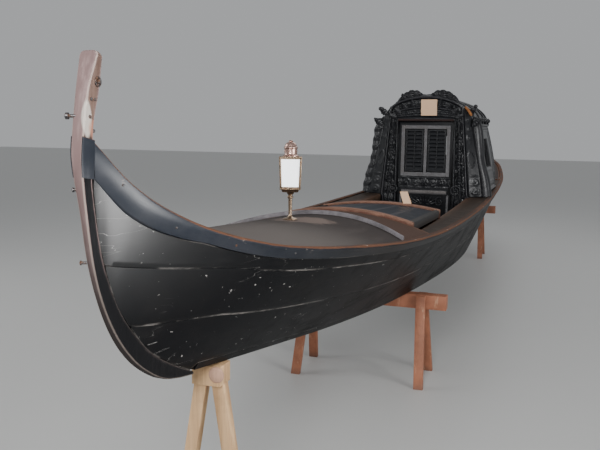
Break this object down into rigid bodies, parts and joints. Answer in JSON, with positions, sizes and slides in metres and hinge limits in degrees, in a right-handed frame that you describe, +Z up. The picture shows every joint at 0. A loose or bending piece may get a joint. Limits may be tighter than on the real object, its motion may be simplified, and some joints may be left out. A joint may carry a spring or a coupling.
{
  "type": "gondola boat",
  "caption": "Long narrow flat-bottomed passenger boat with upswept ends, cambered decks and a carved cabin with door and louvred shutters, standing on wooden trestles.",
  "frame": {"origin": "on the floor under the middle of the boat's length and beam", "axes": "+X towards the bow, +Y to port, +Z up"},
  "size_m": [10.566, 1.298, 2.0853],
  "materials": {
    "hull_paint": "black gloss paint on planks, scuffed and scratched to bare white",
    "rail_paint": "black paint faded to slate, top edge worn to brown wood",
    "deck_canvas": "matt grey-brown painted deck, worn tan at the edges",
    "hatch_paint": "faded blue-grey paint",
    "worn_red": "red-brown wood with the paint worn off",
    "side_deck_brown": "khaki-brown worn paint",
    "grey_moulding": "pale grey worn paint",
    "carved_black": "carved wood in black gloss paint, high points shiny and rubbed",
    "inside_wood": "dark oiled boards",
    "black_leather": "buttoned black leather, creased",
    "lantern_brass": "tarnished brass and copper",
    "lantern_pane": "clear pane with a bright reflection",
    "trestle_red": "terracotta paint on rough boards, scuffed",
    "prop_pine": "bare pale pine"
  },
  "bodies": {
    "boat": {"stem": "hull_paint", "sternpost": "hull_paint", "bottom_fore": "hull_paint", "bottom_middle": "hull_paint", "bottom_aft": "hull_paint", "garboard_fore_port": "hull_paint", "garboard_fore_starboard": "hull_paint", "garboard_middle_port": "hull_paint", "garboard_middle_starboard": "hull_paint", "garboard_aft_port": "hull_paint", "garboard_aft_starboard": "hull_paint", "middle_strake_fore_port": "hull_paint", "middle_strake_fore_starboard": "hull_paint", "middle_strake_middle_port": "hull_paint", "middle_strake_middle_starboard": "hull_paint", "middle_strake_aft_port": "hull_paint", "middle_strake_aft_starboard": "hull_paint", "upper_strake_port": "hull_paint", "upper_strake_starboard": "hull_paint", "sheer_rail_port": "rail_paint", "sheer_rail_starboard": "rail_paint", "foredeck": "deck_canvas", "aft_deck": "deck_canvas", "fore_arch": "worn_red", "well_arch": "worn_red", "stern_arch": "worn_red", "hatch_cover": "hatch_paint", "foredeck_moulding": "grey_moulding", "side_deck_port": "side_deck_brown", "side_deck_starboard": "side_deck_brown", "well_bulkhead": "worn_red", "stern_bulkhead": "inside_wood", "floorboards": "inside_wood", "cabin_front": "carved_black", "cabin_side_port": "carved_black", "cabin_side_starboard": "carved_black", "cabin_roof": "carved_black", "cabin_back": "carved_black", "cresting": "carved_black", "bench": "inside_wood", "seat_cushion": "black_leather", "back_cushion": "black_leather", "lantern_post": "lantern_brass", "lantern_frame": "lantern_brass", "lantern_glass": "lantern_pane", "lantern_cap": "lantern_brass", "trestle_middle": "trestle_red", "trestle_aft": "trestle_red", "bow_prop": "prop_pine"},
    "door": {"cabin_door": "carved_black"},
    "port_leaf": {"shutter_port": "carved_black"},
    "starboard_leaf": {"shutter_starboard": "carved_black"}
  },
  "joints": [
    {"name": "door_hinge", "type": "hinge", "parent": "boat", "child": "door", "pos_m": [-0.15, -0.26, 1.27], "axis": [0, 0, 1], "range_deg": [0, 90]},
    {"name": "port_shutter_hinge", "type": "hinge", "parent": "door", "child": "port_leaf", "pos_m": [-0.12, 0.1935, 1.5075], "axis": [0, 0, 1], "range_deg": [0, 95]},
    {"name": "starboard_shutter_hinge", "type": "hinge", "parent": "door", "child": "starboard_leaf", "pos_m": [-0.12, -0.1935, 1.5075], "axis": [0, 0, -1], "range_deg": [0, 95]}
  ]
}
